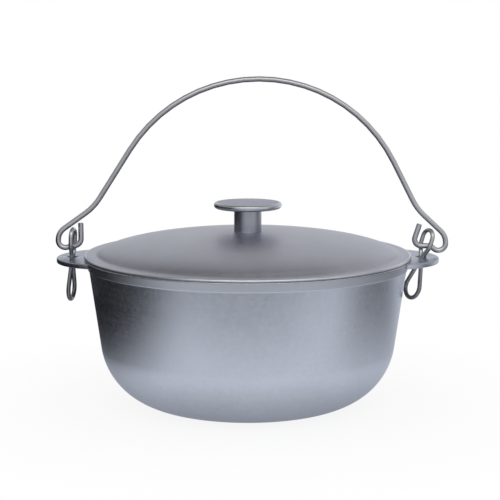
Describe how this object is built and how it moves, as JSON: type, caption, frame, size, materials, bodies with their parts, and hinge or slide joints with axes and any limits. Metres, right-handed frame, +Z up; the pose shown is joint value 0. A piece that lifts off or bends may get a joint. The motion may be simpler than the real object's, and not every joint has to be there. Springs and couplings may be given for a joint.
{
  "type": "camp kettle",
  "caption": "Wide cast cooking kettle with a rounded base and half-moon ears, a domed lift-off lid with a round knob, and a wire bail hooked into wire links, for brewing over a fire.",
  "frame": {"origin": "on the floor, at the middle of the pot's flat base", "axes": "+Z up along the pot's axis, +X through the right-hand ear, -Y towards the picture's camera"},
  "size_m": [0.3597, 0.3, 0.3005],
  "materials": {
    "cast_aluminium": "satin, with fine turning lines",
    "turned_aluminium": "turned, brighter at its rim",
    "steel_fixing": "plain zinc-plated",
    "steel_wire": "drawn wire, slightly dull"
  },
  "bodies": {
    "pot": {"pot": "cast_aluminium"},
    "lid": {"lid": "cast_aluminium", "knob": "turned_aluminium", "knob_washer": "steel_fixing", "knob_screw": "steel_fixing"},
    "bail": {"bail": "steel_wire"},
    "link_left": {"link_left": "steel_wire"},
    "link_right": {"link_right": "steel_wire"}
  },
  "joints": [
    {"name": "lid_lift", "type": "slide", "parent": "pot", "child": "lid", "axis": [0, 0, 1], "range_m": [0, 0.025]},
    {"name": "bail_swing", "type": "hinge", "parent": "pot", "child": "bail", "pos_m": [0, 0, 0.1459], "axis": [1, 0, 0], "range_deg": [-90, 90]},
    {"name": "link_left_turn", "type": "hinge", "parent": "pot", "child": "link_left", "pos_m": [-0.161, 0, 0.13365], "axis": [0.0436, 0, 0.999], "range_deg": [-10, 30]},
    {"name": "link_right_turn", "type": "hinge", "parent": "pot", "child": "link_right", "pos_m": [0.159, 0, 0.13365], "axis": [0.2756, 0, 0.9613], "range_deg": [-62, 1]}
  ]
}
